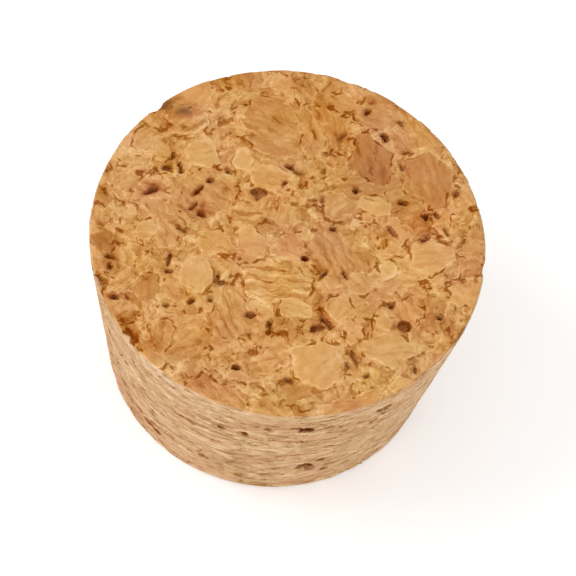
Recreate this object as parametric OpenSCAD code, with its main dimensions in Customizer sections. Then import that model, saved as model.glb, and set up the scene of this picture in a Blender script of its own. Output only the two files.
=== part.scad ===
// Tapered cork stopper, cut in one piece from pressed cork granules.
// It stands on its narrow end: the centre of that end is the origin, and +Z
// runs along its axis to the wide end. All lengths are in millimetres.
//
// The granules are flakes that lie flat across the axis. Where they don't meet,
// the ends show small angular pores, and the side shows thin slits that run
// around it. Granules have broken out of both rims. Each of these is one bite: an
// angular hole with straight walls and a sloping floor.

/* [Body] */
// Diameter of the wide end
wide_d = 35; // [31:0.5:42]
// Diameter of the narrow end
narrow_d = 29; // [24:0.5:30]
// Height from end to end
body_h = 20; // [15:0.5:30]
// Radius of the eased rim at the wide end
wide_rim_r = 0.4; // [0.1:0.1:0.8]
// Radius of the eased rim at the narrow end
narrow_rim_r = 0.6; // [0.1:0.1:1.2]

/* [Pores in the ends] */
// Breadth of a common pore
pore_w = 0.5; // [0.3:0.05:0.8]
// Depth of a common pore
pore_deep = 0.6; // [0.3:0.1:1.2]
// Distance between neighbouring pores of the narrow end
pore_pitch = 4.2; // [3:0.1:6]
// Most that a pore's floor leans
pore_lean = 14; // [0:1:25]
// Radius of the sound middle of the narrow end
sound_r = 2.4; // [1.5:0.1:4]

/* [Slits in the side] */
// Length of a common slit around the side
slit_l = 1.8; // [1:0.1:3]
// Height of a common slit
slit_h = 0.4; // [0.2:0.05:0.6]
// Depth of a common slit
slit_deep = 0.7; // [0.3:0.1:1.5]
// Distance between neighbouring slits
slit_pitch = 5.2; // [4.5:0.1:8]

/* [Broken rims] */
// Length of rim that a lost granule leaves open
chip_l = 3; // [2:0.1:5]
// How far a lost granule reached in from the rim
chip_in = 0.9; // [0.4:0.1:1.5]
// How far a lost granule reached down from the end
chip_down = 1; // [0.5:0.1:1.8]
// Slope of the break that a lost granule leaves
chip_slope = 24; // [0:1:35]

/* [Hidden] */

cork = "#DDA86A";

wide_r = wide_d / 2;
narrow_r = narrow_d / 2;
taper = atan((wide_r - narrow_r) / body_h);

// Straight steps around the body, and in a rim's arc
turn_steps = 96;
rim_steps = 4;
// How far a cutter stands out past the surface that it cuts
proud = 2;

// Turn from one pore or slit to the next: an even spread with no rows
golden_turn = 137.508;
// Share of the pitch by which a pore or slit may lie off its even place
stray = 0.28;
// Least and greatest size of a pore or slit, as a share of the common one
size_spread = [0.55, 1.35];
// Least and greatest breadth of a pore, as a share of its length
pore_slim = [0.4, 0.9];
// Share of the narrow end's radius that its pores keep within
pore_field = 0.88;
// Band beside each end that the slits keep out of, so that they meet no pore
slit_clear = size_spread[1] * (pore_deep + slit_h);

// Fewest and most corners of a bite's outline
bite_corners = [4, 7];
// Share of a corner's turn, and least and greatest share of its reach, by which
// an outline's corners lie off a true oval
corner_stray = 0.28;
corner_reach = [0.78, 1.12];

// Keys of the drawn numbers: each group of bites has its own, and each bite
// takes this many
keys = 40;
wide_key = 10000;
narrow_key = 20000;
slit_key = 30000;
open_slit_key = 40000;
wide_chip_key = 50000;
narrow_chip_key = 60000;

// The pores of the wide end: [place across and along the end in hundredths of its
// radius, length and breadth as shares of a common pore's breadth, turn of its
// length, depth as a share of a common one]
wide_pores = [
    // Far left
    [-19, 23, 3.0, 1.7, 10, 1.4],
    [-19, 21, 1.6, 1.1, 80, 1.2],
    [-67, 27, 1.7, 1.2, 10, 1.2],
    [-60, 29, 2.5, 0.9, -65, 1.1],
    [-44, 25, 1.1, 1.0, 0, 1.1],
    [-49, 18, 3.0, 0.9, 60, 1.0],
    [-50, 8, 2.0, 0.8, 60, 0.8],
    [-45, 5, 1.8, 1.4, -70, 1.1],
    [-6, 41, 1.8, 1.0, -15, 1.1],
    [-2, 39, 2.4, 0.7, -20, 0.8],
    [-7, 32, 1.0, 0.9, 30, 1.0],
    [-36, 32, 1.8, 0.8, -30, 0.9],
    [-72, 12, 3.4, 1.0, 35, 0.8],
    [-65, 35, 1.4, 0.9, -80, 0.7],
    // Far right
    [38, 69, 2.0, 1.2, -45, 1.2],
    [27, 82, 1.8, 1.0, 60, 1.0],
    [66, 28, 1.4, 1.0, 20, 1.3],
    [53, 33, 1.8, 0.8, 0, 1.0],
    [79, 45, 1.4, 0.9, 80, 0.8],
    [71, 30, 1.8, 0.8, -40, 0.8],
    [77, 22, 2.0, 0.7, -55, 0.7],
    [29, 35, 1.3, 1.0, 70, 0.9],
    [21, 11, 1.4, 1.0, 10, 1.1],
    [13, 26, 2.2, 0.7, -75, 0.7],
    [67, 15, 2.6, 0.7, 42, 0.7],
    [50, 16, 3.2, 0.8, -40, 0.7],
    [49, 54, 2.4, 0.7, -55, 0.7],
    [50, 63, 1.8, 0.8, 70, 0.7],
    [17, 65, 2.2, 1.0, 60, 0.7],
    [45, 79, 1.6, 0.8, -45, 0.7],
    // Near left
    [-13, -77, 1.6, 1.0, 0, 1.3],
    [-11, -46, 2.2, 1.5, 10, 1.0],
    [-55, -31, 1.8, 0.9, 0, 1.1],
    [-56, -24, 2.4, 0.7, 85, 0.7],
    [-31, -29, 2.4, 0.7, 85, 0.8],
    [-28, -31, 1.4, 0.8, 25, 1.0],
    [-41, -45, 1.8, 0.9, 50, 1.0],
    [-53, -50, 1.2, 0.9, 0, 0.9],
    [-32, -42, 1.2, 0.8, 60, 0.8],
    [-85, -29, 2.4, 1.1, -10, 1.0],
    [-84, -34, 2.0, 0.8, -70, 0.9],
    [-79, -51, 2.0, 1.2, 20, 1.0],
    [-53, -6, 3.2, 0.8, -25, 0.7],
    [-1, -50, 3.0, 0.8, -80, 0.9],
    // Near right
    [10, -9, 1.3, 1.0, -10, 1.4],
    [21, -16, 3.0, 0.8, 65, 0.9],
    [31, -13, 2.6, 0.7, -55, 0.7],
    [65, -36, 2.8, 2.1, 0, 1.4],
    [26, -42, 3.8, 1.0, -40, 1.2],
    [23, -46, 2.8, 1.2, 15, 1.1],
    [57, -26, 1.6, 0.9, 85, 0.8],
    [81, -27, 1.4, 1.0, -50, 0.9],
    [43, -58, 3.4, 0.8, -55, 0.8],
    [41, -64, 1.8, 0.7, -50, 0.7],
    [51, -67, 1.0, 0.9, 0, 0.8],
    [14, -78, 2.0, 0.8, -35, 0.8],
    [74, -58, 1.8, 0.8, -75, 0.7],
];

// The open slits of the side, where flakes have lifted: [angle around it, height
// as a share of the body's, length, height and depth as shares of a common slit]
open_slits = [
    [-74, 0.83, 1.0, 1.5, 1.2],
    [-92, 0.70, 0.6, 1.3, 0.9],
    [-101, 0.68, 0.8, 1.0, 0.7],
    [-139, 0.63, 0.9, 1.4, 0.9],
    [-142, 0.30, 1.0, 1.5, 1.1],
    [-69, 0.28, 1.2, 1.2, 1.0],
    [-62, 0.21, 0.7, 1.5, 1.0],
    [-49, 0.84, 1.2, 1.3, 0.9],
    [-104, 0.24, 0.8, 1.2, 0.8],
    [-65, 0.36, 0.7, 1.2, 0.8],
    [-91, 0.18, 0.8, 1.2, 0.7],
];

// The granules lost from each rim: [angle around it, length, reach in and reach
// down as shares of a common one, turn of the break against the rim]
wide_chips = [
    [142, 0.6, 0.5, 0.8, 6],
    [-153, 0.7, 0.6, 1.2, -8],
    [-133, 0.6, 0.6, 1.1, 0],
    [-36, 1.1, 0.5, 0.9, 4],
    [3, 0.6, 0.4, 0.8, -10],
    [82, 0.8, 0.4, 0.7, 5],
    [108, 0.6, 0.3, 0.6, 0],
];
narrow_chips = [
    [112, 1.0, 0.7, 0.8, 5],
    [-20, 0.7, 0.5, 0.7, -8],
    [48, 1.1, 0.8, 0.9, 10],
    [150, 0.8, 0.6, 1.0, 0],
];

// One number between span[0] and span[1] that depends on its key alone
function draw(span, key) = rands(span[0], span[1], 1, key)[0];
// One number from -most to most
function sway(most, key) = draw([-most, most], key);

// Radius of the side at a height
function side_r(z) = narrow_r + z * tan(taper);

// Corners of an angular outline, length x breadth, around its own middle
function flake_outline(length, breadth, key) =
    let (
        corners = floor(draw([bite_corners[0], bite_corners[1] + 1], key)),
        step = 360 / corners
    )
    [for (i = [0 : corners - 1])
        let (
            turn = (i + sway(corner_stray, key + 2 * i + 1)) * step,
            reach = draw(corner_reach, key + 2 * i + 2) / 2
        )
        [reach * length * cos(turn), reach * breadth * sin(turn)]];

// Centre of a rim's arc, in from where the end and the side would meet: side is
// 1 at the wide end and -1 at the narrow end
function rim_centre_in(rim_r, side) = rim_r * (1 + side * sin(taper)) / cos(taper);

// Half section of the sound body: flat ends, straight side and an arc at each rim
module body_section() {
    narrow_arc = [for (i = [0 : rim_steps])
        let (turn = -90 + (90 - taper) * i / rim_steps)
        [narrow_r - rim_centre_in(narrow_rim_r, -1) + narrow_rim_r * cos(turn),
         narrow_rim_r * (1 + sin(turn))]];
    wide_arc = [for (i = [0 : rim_steps])
        let (turn = -taper + (90 + taper) * i / rim_steps)
        [wide_r - rim_centre_in(wide_rim_r, 1) + wide_rim_r * cos(turn),
         body_h - wide_rim_r * (1 - sin(turn))]];
    polygon(concat([[0, 0]], narrow_arc, wide_arc, [[0, body_h]]));
}

// Cutter for one bite out of a surface that faces +Z. Its floor lies at depth in
// the middle and slopes down along +X.
module bite(length, breadth, depth, slope, key) {
    deepest = depth + length * tan(slope);
    intersection() {
        translate([0, 0, -deepest])
            linear_extrude(deepest + proud)
                polygon(flake_outline(length, breadth, key));
        translate([0, 0, -depth])
            rotate([0, slope, 0])
                translate([-deepest - length - proud, -breadth, 0])
                    cube([2 * (deepest + length + proud), 2 * breadth, 2 * (deepest + length + proud)]);
    }
}

// Pores of the narrow end, spread evenly, with the sound middle left whole
module narrow_end_pores() {
    field_r = narrow_r * pore_field;
    count = floor(PI * field_r * field_r / (pore_pitch * pore_pitch));
    for (i = [0 : count - 1]) {
        key = narrow_key + keys * i;
        away = field_r * sqrt((i + 0.5) / count) + sway(stray, key) * pore_pitch;
        breadth = pore_w * draw(size_spread, key + 1);
        length = breadth / draw(pore_slim, key + 2);
        depth = pore_deep * draw(size_spread, key + 3);
        if (away > sound_r + length / 2 && away < field_r)
            rotate(i * golden_turn)
                translate([away, 0, 0])
                    rotate(draw([0, 360], key + 4))
                        bite(length, breadth, depth, draw([0, pore_lean], key + 5), key + 6);
    }
}

// Pores of the wide end
module wide_end_pores() {
    for (i = [0 : len(wide_pores) - 1]) {
        p = wide_pores[i];
        translate([p[0], p[1], 0] * wide_r / 100)
            rotate(p[4])
                bite(p[2] * pore_w, p[3] * pore_w, p[5] * pore_deep, pore_lean / 2, wide_key + keys * i);
    }
}

// One slit of the side at an angle and a height, cut square to the side
module slit(angle, z, length, height, depth, key) {
    rotate(angle)
        translate([side_r(z), 0, z])
            rotate([0, 90 + taper, 0])
                rotate(90)
                    bite(length, height, depth, 0, key);
}

// Slits of the side: long around it and thin along the axis
module side_slits() {
    girth = PI * (wide_r + narrow_r);
    band = body_h - 2 * slit_clear;
    count = floor(girth * band / cos(taper) / (slit_pitch * slit_pitch));
    for (i = [0 : count - 1]) {
        key = slit_key + keys * i;
        slit(
            i * golden_turn + sway(stray, key + 3) * 360 * slit_pitch / girth,
            slit_clear + band * (i + 0.5) / count,
            slit_l * draw(size_spread, key + 1),
            slit_h * draw(size_spread, key + 2),
            slit_deep * draw(size_spread, key + 5),
            key + 4
        );
    }
    for (i = [0 : len(open_slits) - 1]) {
        s = open_slits[i];
        slit(s[0], s[1] * body_h, s[2] * slit_l, s[3] * slit_h, s[4] * slit_deep, open_slit_key + keys * i);
    }
}

// Granules lost from the rim of an end that faces +Z
module rim_chips(chips, end_r, first_key) {
    for (i = [0 : len(chips) - 1]) {
        c = chips[i];
        reach_in = c[2] * chip_in;
        // Depth at the rim itself, where the floor has sloped down from the break
        depth = c[3] * chip_down + reach_in * tan(chip_slope);
        rotate(c[0])
            translate([end_r, 0, 0])
                rotate(c[4])
                    bite(2 * reach_in, c[1] * chip_l, depth, chip_slope, first_key + keys * i);
    }
}

// The stopper: one turned body less its pores, slits and lost granules
module stopper() {
    color(cork)
        difference() {
            rotate_extrude($fn = turn_steps)
                body_section();
            translate([0, 0, body_h]) {
                wide_end_pores();
                rim_chips(wide_chips, wide_r, wide_chip_key);
            }
            mirror([0, 0, 1]) {
                narrow_end_pores();
                rim_chips(narrow_chips, narrow_r, narrow_chip_key);
            }
            side_slits();
        }
}

stopper();
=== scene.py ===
"""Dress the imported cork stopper: pressed granules, pores, growth rings and a soft studio.

All lengths are in metres unless a name ends in _mm. The stopper stands on its narrow end at the
origin, with +Z along its axis to the wide end.
"""

import logging
import math
from dataclasses import dataclass, field
from enum import Enum

import bpy
import numpy as np
from mathutils import Matrix, Vector


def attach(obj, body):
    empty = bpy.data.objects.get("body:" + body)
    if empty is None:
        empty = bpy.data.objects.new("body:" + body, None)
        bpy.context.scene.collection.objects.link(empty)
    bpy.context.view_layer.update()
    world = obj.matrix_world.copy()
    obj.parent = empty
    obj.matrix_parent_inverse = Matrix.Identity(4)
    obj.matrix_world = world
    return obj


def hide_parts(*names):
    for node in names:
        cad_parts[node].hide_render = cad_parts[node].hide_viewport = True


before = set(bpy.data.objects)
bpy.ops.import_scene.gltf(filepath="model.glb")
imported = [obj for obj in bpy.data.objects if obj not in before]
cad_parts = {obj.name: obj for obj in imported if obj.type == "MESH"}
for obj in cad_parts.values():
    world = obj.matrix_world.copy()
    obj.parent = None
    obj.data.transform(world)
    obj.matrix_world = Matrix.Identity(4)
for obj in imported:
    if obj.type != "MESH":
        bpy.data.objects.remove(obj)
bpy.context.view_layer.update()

LOG = logging.getLogger("stopper")
MM = 0.001
# The middle of a noise or a random number, alone and as a vector
MIDDLE = 0.5
MIDDLES = (0.5, 0.5, 0.5)
UP = (0.0, 0.0, 1.0)
LEVEL = (1.0, 1.0, 0.0)
# Keeps a division from failing
TINY = 1e-6
SOFT = {"interpolation_type": "SMOOTHSTEP"}
# The node types used most
MATH = "ShaderNodeMath"
VECTOR = "ShaderNodeVectorMath"
PARTS = "ShaderNodeSeparateXYZ"
RANGE = "ShaderNodeMapRange"
NOISE = "ShaderNodeTexNoise"
MIX = "ShaderNodeMix"
# How many finer noises a noise holds, and how strong they are
PLAIN = 1.0
FINE = 2.0
ROUGH = 0.6
Tree = bpy.types.NodeTree
Socket = bpy.types.NodeSocket
Rows = tuple[tuple[float, ...], ...]
# What a mask is read from goes from the first number to the second, and the mask from 0 to 1 or
# from the third number to the fourth
Span = tuple[float, ...]


def linear(srgb_hex: str) -> tuple[float, float, float, float]:
    """Turn an sRGB hex colour into the linear RGBA that a shader takes.

    Args:
        srgb_hex: Six hex digits, such as "DDA86A".

    Returns:
        Linear red, green, blue and an alpha of 1.
    """
    channels = (int(srgb_hex[i : i + 2], 16) / 255 for i in (0, 2, 4))
    return (*(c / 12.92 if c <= 0.04045 else ((c + 0.055) / 1.055) ** 2.4 for c in channels), 1.0)


def add(
    tree: Tree, kind: str, inputs: dict | tuple = (), operation: str = "", **settings
) -> bpy.types.NodeOutputs:
    """Add one node with its settings, values and links.

    Args:
        tree: The node tree to add to.
        kind: The node's type name.
        inputs: A socket to link from, or a value to set, for each input: by the input's name or
            number, or in the node's own order.
        operation: What a node that has a choice of operations does.
        settings: The node's other properties.

    Returns:
        The new node's outputs.
    """
    node = tree.nodes.new(kind)
    if operation:
        settings["operation"] = operation
    for name, value in settings.items():
        setattr(node, name, value)
    for key, value in inputs.items() if isinstance(inputs, dict) else enumerate(inputs):
        if isinstance(value, Socket):
            tree.links.new(value, node.inputs[key])
        else:
            node.inputs[key].default_value = value
    return node.outputs


@dataclass(frozen=True)
class StopperSize:
    """The sound stopper, before any pore or broken rim."""

    wide_r_mm: float = 17.5
    narrow_r_mm: float = 14.5
    height_mm: float = 20.0

    @property
    def slope(self) -> float:
        """How far the side leans out over each mm of height."""
        return (self.wide_r_mm - self.narrow_r_mm) / self.height_mm

    def side_point(self, angle: float, height_mm: float) -> tuple[float, float, float]:
        """Find a point on the side.

        Args:
            angle: Its angle around the axis, in degrees.
            height_mm: Its height.

        Returns:
            The point in mm.
        """
        radius = self.narrow_r_mm + self.slope * height_mm
        way = math.radians(angle)
        return (radius * math.cos(way), radius * math.sin(way), height_mm)


@dataclass(frozen=True)
class GranuleField:
    """The pressed granules as one solid pattern, shared by the relief and the colours.

    Granules are flakes that lie across the axis: as wide as a few millimetres and about a third as
    thick. A large granule is whole or is broken up into middling ones, and those into crumbs.
    """

    large_mm: float = 4.2
    middling_mm: float = 2.2
    crumb_mm: float = 0.95
    flatness: float = 3.2
    whole_share: float = 0.34
    middling_share: float = 0.58
    # Size and reach in mm of the noises that bend and fray the granules' outlines
    warps: Rows = ((2.6, 1.1), (0.8, 0.5), (0.3, 0.2))
    # How far in mm a crumb drags the outline of the larger granule that it lies on
    crumb_pull_mm: float = 0.7
    known_warps: Rows = ((1.4, 0.7), (0.4, 0.35))

    def build(self, tree: Tree, position: Socket, known: Socket) -> dict:
        """Add the granule nodes to a tree.

        Args:
            tree: A shader or geometry node tree.
            position: A point in metres.
            known: The mesh's "known_granule" attribute.

        Returns:
            Sockets: flat (the point in mm with its height stretched, so that a flake is round in
            it), point (the same, bent), lot (three random numbers of the granule that shows, also as
            odds), own (the parts of known), inside (1 in a known granule), edge (mm to the granule's
            boundary) and main (mm to the nearest boundary of a granule above crumb size).
        """
        stretch = (1 / MM, 1 / MM, self.flatness / MM)
        flat = add(tree, VECTOR, (position, stretch), "MULTIPLY")[0]
        point = flat
        for size, reach in self.warps:
            noise = add(tree, NOISE, {"Vector": flat, "Scale": 1 / size, "Detail": PLAIN})
            point = self.pull(tree, point, noise["Color"], reach)
        lots, edges, bent = [], [], point
        for size in (self.crumb_mm, self.middling_mm, self.large_mm):
            places = {"Vector": bent, "Scale": 1 / size}
            cell = add(tree, "ShaderNodeTexVoronoi", places, feature="F1")
            rim = add(tree, "ShaderNodeTexVoronoi", places, feature="DISTANCE_TO_EDGE")
            edge = add(tree, MATH, (rim["Distance"], size), "MULTIPLY")
            lots.append(cell["Color"])
            edges.append(edge[0])
            if bent == point:
                bent = self.pull(tree, point, cell["Color"], self.crumb_pull_mm)
        wholes = []
        for lot, share in zip(lots[1:], (self.middling_share, self.whole_share)):
            odds = add(tree, PARTS, (lot,))[0]
            wholes.append(add(tree, MATH, (odds, share), "LESS_THAN")[0])
        lot, edge = lots[0], edges[0]
        for level, whole in enumerate(wholes, start=1):
            nearer = add(tree, MATH, (edge, edges[level]), "MINIMUM")[0]
            edge = add(tree, MIX, {0: whole, 2: nearer, 3: edges[level]})[0]
            lot = add(tree, MIX, {0: whole, 4: lot, 5: lots[level]}, data_type="VECTOR")[1]
        nearer = add(tree, MATH, tuple(edges[1:]), "MINIMUM")[0]
        main = add(tree, MIX, {0: wholes[1], 2: nearer, 3: edges[2]})[0]
        own = add(tree, PARTS, (known,))
        gap, _ = self.fray(tree, flat, own[0], self.known_warps)
        inside = add(tree, MATH, (gap, 0.0), "LESS_THAN")[0]
        gap = add(tree, MATH, (gap,), "ABSOLUTE")[0]
        cells = {"flat": flat, "point": point, "lot": lot, "own": own, "inside": inside}
        cells["odds"] = add(tree, PARTS, (lot,))
        # A known granule pushes the others aside
        for name, distance in (("edge", edge), ("main", main)):
            nearer = add(tree, MATH, (distance, gap), "MINIMUM")[0]
            cells[name] = add(tree, MIX, {0: inside, 2: nearer, 3: gap})[0]
        return cells

    @staticmethod
    def fray(tree: Tree, flat: Socket, away: Socket, warps: Rows) -> tuple[Socket, Socket]:
        """Fray an outline by adding noises to the distance to it.

        Args:
            tree: The tree to add to.
            flat: The point that the noises are read at.
            away: The distance in mm outside the outline.
            warps: The size and the reach in mm of each noise.

        Returns:
            Sockets: the new distance, and the last noise.
        """
        for size, reach in warps:
            noise = add(tree, NOISE, {"Vector": flat, "Scale": 1 / size, "Detail": PLAIN})[0]
            swing = add(tree, MATH, (noise, MIDDLE), "SUBTRACT")[0]
            away = add(tree, MATH, (swing, reach, away), "MULTIPLY_ADD")[0]
        return away, noise

    @staticmethod
    def pull(tree: Tree, point: Socket, colour: Socket, reach: float) -> Socket:
        """Move a point as a random colour says.

        Args:
            tree: The tree to add to.
            point: The point to move.
            colour: Three numbers from 0 to 1.
            reach: Twice the furthest move each way.

        Returns:
            The moved point.
        """
        swing = add(tree, VECTOR, (colour, MIDDLES), "SUBTRACT")[0]
        swing = add(tree, VECTOR, {0: swing, "Scale": reach}, "SCALE")[0]
        return add(tree, VECTOR, (point, swing), "ADD")[0]


# Across, along, length, breadth, turn, tone, share of the grain and of the rings that shows
GRANULES: Rows = (
    (4.7, -11.4, 4.8, 4.6, 70, 0.856, 0.45, 0.2),
    (10.2, -9.0, 4.6, 3.0, 10, 0.841, 0.55, 0.2),
    (12.6, 1.1, 4.8, 3.2, 20, 0.841, 0.55, 0.2),
    (5.6, -5.8, 2.8, 2.8, 60, 0.846, 0.5, 0.2),
    (-5.4, 7.0, 2.5, 1.9, 90, 0.893, 0.4, 0.2),
    (-2.6, 6.0, 4.2, 2.2, 5, 0.841, 0.75, 0.2),
    (-8.9, 6.7, 3.2, 2.8, 20, 0.856, 0.5, 0.2),
    (-7.2, -5.0, 3.3, 3.3, 90, 0.858, 0.5, 0.2),
    (-6.2, -1.9, 3.6, 2.0, -10, 0.856, 0.65, 0.5),
    (-13.7, 7.2, 3.0, 2.6, 50, 0.82, 0.75, 0.2),
    (9.2, -0.9, 2.0, 1.7, 0, 0.896, 0.55, 0.2),
    (6.7, -3.0, 2.8, 2.2, -30, 0.82, 0.65, 0.2),
    (-0.6, -4.2, 6.4, 4.8, 10, 0.83, 1.3, 1.5),
    (1.6, -6.6, 3.2, 2.2, 0, 0.84, 0.85, 0.4),
    (5.9, 9.3, 5.8, 3.0, -66, 0.6, 0.8, 0.5),
    (11.3, 8.8, 5.6, 4.2, -60, 0.7, 0.7, 0.4),
    (3.7, 4.2, 3.2, 3.0, 60, 0.78, 0.95, 0.2),
    (7.0, 5.0, 3.0, 2.2, 0, 0.838, 0.75, 0.2),
    (-11.2, -7.4, 2.8, 2.4, 90, 0.68, 0.85, 0.2),
    (12.3, -12.0, 2.8, 1.8, 35, 0.848, 0.75, 0.2),
    (-9.0, -11.6, 3.4, 2.4, 90, 0.8, 1.2, 1.2),
    (-3.9, 1.6, 3.4, 2.4, 10, 0.8, 1.1, 1.2),
    (-12.2, -1.8, 2.2, 2.0, 0, 0.848, 0.75, 0.2),
    (-12.3, 6.3, 1.5, 2.2, 10, 0.82, 0.85, 0.2),
)
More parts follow.
